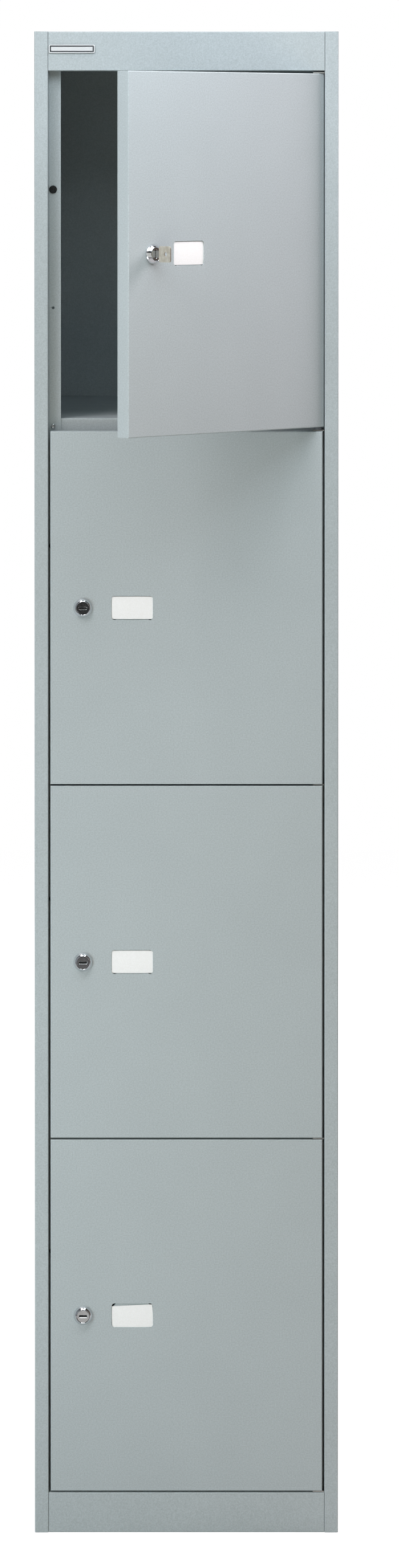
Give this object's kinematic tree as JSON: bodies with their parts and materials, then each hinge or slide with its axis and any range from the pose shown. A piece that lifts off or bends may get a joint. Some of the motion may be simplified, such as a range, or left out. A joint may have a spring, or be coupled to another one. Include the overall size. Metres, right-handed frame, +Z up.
{
  "type": "locker cabinet",
  "caption": "Tall narrow folded-steel locker with a column of right-hung doors, each with a cam lock, rubber stop and name card; the top door stands half open with its key in.",
  "frame": {"origin": "on the floor under the centre of the carcass, on the flat underside of the channel below the base panel; the open top door doesn't move it", "axes": "+Z up, -Y out of the doors towards the user, +X to the right of someone who faces the doors, where the hinges are"},
  "size_m": [0.305, 0.6434, 1.51],
  "materials": {
    "grey_paint": "light grey powder coat, satin, with a very fine orange-peel texture",
    "chrome": "bright plated",
    "zinc_steel": "zinc plated, dull",
    "key_metal": "nickel plated brass, rubbed",
    "black_rubber": "matt",
    "white_card": "plain white card, matt",
    "grey_nylon": "moulded, matt"
  },
  "bodies": {
    "cabinet": {"left_side": "grey_paint", "right_side": "grey_paint", "back_panel": "grey_paint", "roof": "grey_paint", "plinth": "grey_paint", "base_panel": "grey_paint", "base_stiffener": "grey_paint", "shelf_1": "grey_paint", "shelf_2": "grey_paint", "shelf_3": "grey_paint", "badge": "chrome", "hinge_washer": "grey_nylon", "hinge_plate_1": "zinc_steel", "hinge_plate_2": "zinc_steel", "hinge_plate_3": "zinc_steel", "hinge_plate_4": "zinc_steel", "hinge_plate_5": "zinc_steel", "door_stop_1": "black_rubber", "door_stop_2": "black_rubber", "door_stop_3": "black_rubber", "door_stop_4": "black_rubber", "shelf_screw_1": "zinc_steel", "shelf_screw_2": "zinc_steel", "shelf_screw_3": "zinc_steel", "shelf_screw_4": "zinc_steel"},
    "door_1": {"door_1_panel": "grey_paint", "door_1_stiffener": "grey_paint", "name_card_1": "white_card", "lock_1_barrel": "chrome", "lock_1_nut": "zinc_steel"},
    "lock_1": {"lock_1_plug": "chrome", "lock_1_tongue": "zinc_steel", "lock_1_tongue_screw": "zinc_steel"},
    "door_2": {"door_2_panel": "grey_paint", "door_2_stiffener": "grey_paint", "name_card_2": "white_card", "lock_2_barrel": "chrome", "lock_2_nut": "zinc_steel"},
    "lock_2": {"lock_2_plug": "chrome", "lock_2_tongue": "zinc_steel", "lock_2_tongue_screw": "zinc_steel"},
    "door_3": {"door_3_panel": "grey_paint", "door_3_stiffener": "grey_paint", "name_card_3": "white_card", "lock_3_barrel": "chrome", "lock_3_nut": "zinc_steel"},
    "lock_3": {"lock_3_plug": "chrome", "lock_3_tongue": "zinc_steel", "lock_3_tongue_screw": "zinc_steel"},
    "door_4": {"door_4_panel": "grey_paint", "door_4_stiffener": "grey_paint", "name_card_4": "white_card", "lock_4_barrel": "chrome", "lock_4_nut": "zinc_steel"},
    "lock_4": {"lock_4_plug": "chrome", "lock_4_tongue": "zinc_steel", "lock_4_tongue_screw": "zinc_steel"},
    "key": {"key": "key_metal"}
  },
  "joints": [
    {"name": "door_1_hinge", "type": "hinge", "parent": "cabinet", "child": "door_1", "pos_m": [0.1315, -0.224, 1.2905], "axis": [0, 0, 1], "range_deg": [-44.7, 60.3]},
    {"name": "door_2_hinge", "type": "hinge", "parent": "cabinet", "child": "door_2", "pos_m": [0.1315, -0.224, 0.9317], "axis": [0, 0, 1], "range_deg": [0, 105]},
    {"name": "door_3_hinge", "type": "hinge", "parent": "cabinet", "child": "door_3", "pos_m": [0.1315, -0.224, 0.5755], "axis": [0, 0, 1], "range_deg": [0, 105]},
    {"name": "door_4_hinge", "type": "hinge", "parent": "cabinet", "child": "door_4", "pos_m": [0.1315, -0.224, 0.2193], "axis": [0, 0, 1], "range_deg": [0, 105]},
    {"name": "lock_1_turn", "type": "hinge", "parent": "door_1", "child": "lock_1", "pos_m": [-0.03259, -0.39271, 1.2905], "axis": [-0.7034, 0.7108, 0], "range_deg": [0, 90]},
    {"name": "lock_2_turn", "type": "hinge", "parent": "door_2", "child": "lock_2", "pos_m": [-0.1038, -0.2285, 0.9317], "axis": [0, 1, 0], "range_deg": [0, 90]},
    {"name": "lock_3_turn", "type": "hinge", "parent": "door_3", "child": "lock_3", "pos_m": [-0.1038, -0.2285, 0.5755], "axis": [0, 1, 0], "range_deg": [0, 90]},
    {"name": "lock_4_turn", "type": "hinge", "parent": "door_4", "child": "lock_4", "pos_m": [-0.1038, -0.2285, 0.2193], "axis": [0, 1, 0], "range_deg": [0, 90]},
    {"name": "key_pull", "type": "slide", "parent": "lock_1", "child": "key", "axis": [0.7108, -0.7034, 0], "range_m": [0, 0.03]}
  ]
}
